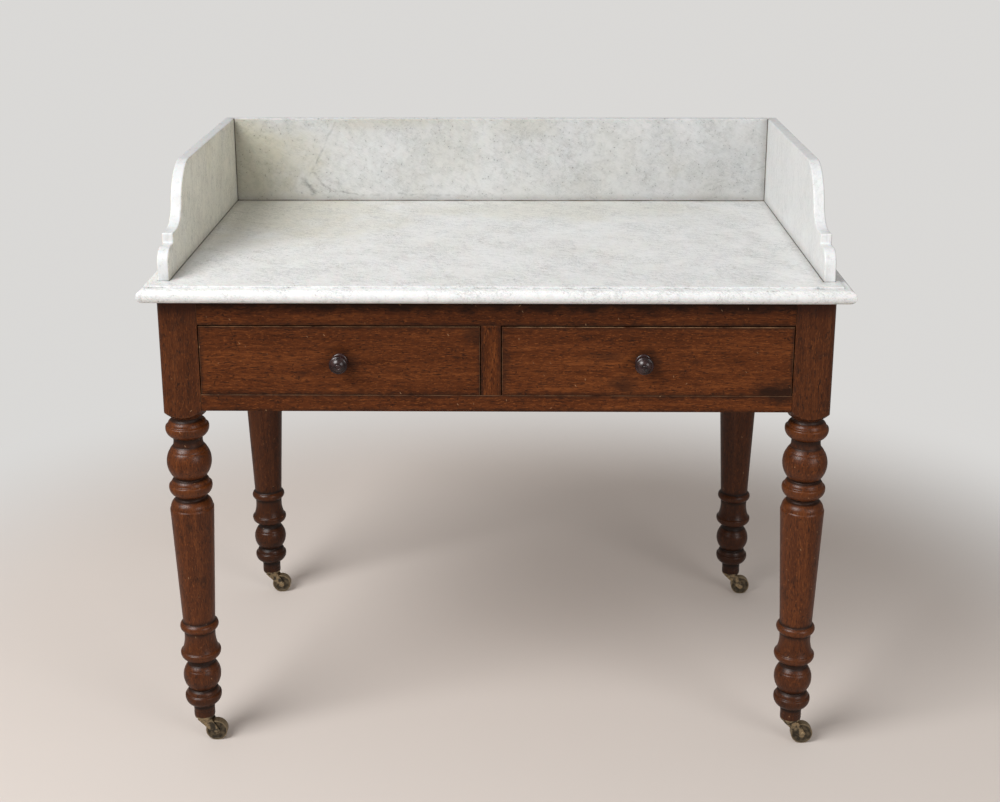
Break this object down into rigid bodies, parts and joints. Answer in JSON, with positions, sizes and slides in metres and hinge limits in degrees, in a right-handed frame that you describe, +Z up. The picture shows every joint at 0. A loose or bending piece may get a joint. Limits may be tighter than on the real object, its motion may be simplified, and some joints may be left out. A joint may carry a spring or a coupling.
{
  "type": "washstand",
  "caption": "Wooden washstand with a marble top and three-sided marble splash, two drawers, turned legs and small brass castors.",
  "frame": {"origin": "on the floor, under the middle of the marble slab's outline", "axes": "+X to the right along the long side, +Y to the back, so the drawers open towards -Y, +Z up"},
  "size_m": [1.04, 0.62, 0.92],
  "materials": {
    "marble": "honed white marble with soft grey veins",
    "mahogany": "red-brown polished mahogany, level grain",
    "leg_mahogany": "dark polished mahogany, upright grain",
    "pine": "bare aged pine",
    "brass": "aged dull brass",
    "wheel_bronze": "dark worn brass",
    "ebonised_wood": "dark glossy polished wood"
  },
  "bodies": {
    "stand": {"marble_top": "marble", "back_splash": "marble", "left_splash": "marble", "right_splash": "marble", "splash_dowels": "brass", "leg_front_left": "leg_mahogany", "leg_front_right": "leg_mahogany", "leg_back_left": "leg_mahogany", "leg_back_right": "leg_mahogany", "top_rail": "mahogany", "bottom_rail": "mahogany", "muntin": "mahogany", "left_end_panel": "mahogany", "right_end_panel": "mahogany", "back_panel": "pine", "left_runner": "pine", "right_runner": "pine", "centre_runner": "pine", "left_guide": "pine", "right_guide": "pine", "centre_guide": "pine", "left_kicker": "pine", "right_kicker": "pine", "centre_kicker": "pine", "drawer_stops": "pine", "castor_plates": "brass", "castor_screws": "brass"},
    "drawer_left": {"left_drawer_front": "mahogany", "left_drawer_left_side": "pine", "left_drawer_right_side": "pine", "left_drawer_back": "pine", "left_drawer_bottom": "pine", "left_drawer_knob": "ebonised_wood"},
    "drawer_right": {"right_drawer_front": "mahogany", "right_drawer_left_side": "pine", "right_drawer_right_side": "pine", "right_drawer_back": "pine", "right_drawer_bottom": "pine", "right_drawer_knob": "ebonised_wood"},
    "castor_front_left": {"castor_horn_front_left": "brass", "castor_axle_front_left": "brass"},
    "wheel_front_left": {"castor_wheel_front_left": "wheel_bronze"},
    "castor_front_right": {"castor_horn_front_right": "brass", "castor_axle_front_right": "brass"},
    "wheel_front_right": {"castor_wheel_front_right": "wheel_bronze"},
    "castor_back_left": {"castor_horn_back_left": "brass", "castor_axle_back_left": "brass"},
    "wheel_back_left": {"castor_wheel_back_left": "wheel_bronze"},
    "castor_back_right": {"castor_horn_back_right": "brass", "castor_axle_back_right": "brass"},
    "wheel_back_right": {"castor_wheel_back_right": "wheel_bronze"}
  },
  "joints": [
    {"name": "left_drawer_slide", "type": "slide", "parent": "stand", "child": "drawer_left", "axis": [0, -1, 0], "range_m": [0, 0.38]},
    {"name": "right_drawer_slide", "type": "slide", "parent": "stand", "child": "drawer_right", "axis": [0, -1, 0], "range_m": [0, 0.38]},
    {"name": "castor_swivel_front_left", "type": "hinge", "parent": "stand", "child": "castor_front_left", "pos_m": [-0.47, -0.25, 0.042], "axis": [0, 0, 1], "continuous": true},
    {"name": "wheel_spin_front_left", "type": "hinge", "parent": "castor_front_left", "child": "wheel_front_left", "pos_m": [-0.4515, -0.25, 0.017], "axis": [0, 1, 0], "continuous": true},
    {"name": "castor_swivel_front_right", "type": "hinge", "parent": "stand", "child": "castor_front_right", "pos_m": [0.47, -0.25, 0.042], "axis": [0, 0, 1], "continuous": true},
    {"name": "wheel_spin_front_right", "type": "hinge", "parent": "castor_front_right", "child": "wheel_front_right", "pos_m": [0.4885, -0.25, 0.017], "axis": [0, 1, 0], "continuous": true},
    {"name": "castor_swivel_back_left", "type": "hinge", "parent": "stand", "child": "castor_back_left", "pos_m": [-0.444, 0.268, 0.042], "axis": [0, 0, 1], "continuous": true},
    {"name": "wheel_spin_back_left", "type": "hinge", "parent": "castor_back_left", "child": "wheel_back_left", "pos_m": [-0.4255, 0.268, 0.017], "axis": [0, 1, 0], "continuous": true},
    {"name": "castor_swivel_back_right", "type": "hinge", "parent": "stand", "child": "castor_back_right", "pos_m": [0.444, 0.268, 0.042], "axis": [0, 0, 1], "continuous": true},
    {"name": "wheel_spin_back_right", "type": "hinge", "parent": "castor_back_right", "child": "wheel_back_right", "pos_m": [0.4625, 0.268, 0.017], "axis": [0, 1, 0], "continuous": true}
  ]
}
